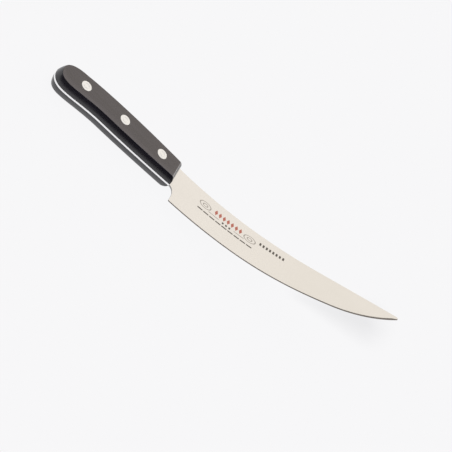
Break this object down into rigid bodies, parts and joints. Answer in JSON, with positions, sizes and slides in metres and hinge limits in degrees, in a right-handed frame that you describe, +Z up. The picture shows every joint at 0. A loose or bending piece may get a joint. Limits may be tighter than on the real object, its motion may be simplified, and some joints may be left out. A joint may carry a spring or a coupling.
{
  "type": "boning knife",
  "caption": "Flexible boning knife on its side: full-tang steel blade bowed as when its tip is pressed on a table, black handle scales held by flush steel rivets.",
  "frame": {"origin": "on the outer face of the left scale, 38 mm behind the front of the handle and 9.5 mm above the neck, between the front and middle rivets; the knife lies on that face", "axes": "+X along the spine towards the tip, +Y from the edge towards the spine, +Z up, away from the rest face and towards the side that the blade is bowed to"},
  "size_m": [0.3154, 0.0349, 0.0561],
  "materials": {
    "blade_steel": "fine satin, ground across the blade",
    "handle_black": "satin moulded and ground plastic",
    "rivet_steel": "satin, ground flush with the scales"
  },
  "bodies": {
    "root": {"blade": "blade_steel", "left_scale": "handle_black", "right_scale": "handle_black", "front_rivet_post": "rivet_steel", "front_rivet_socket": "rivet_steel", "middle_rivet_post": "rivet_steel", "middle_rivet_socket": "rivet_steel", "rear_rivet_post": "rivet_steel", "rear_rivet_socket": "rivet_steel"}
  },
  "joints": []
}
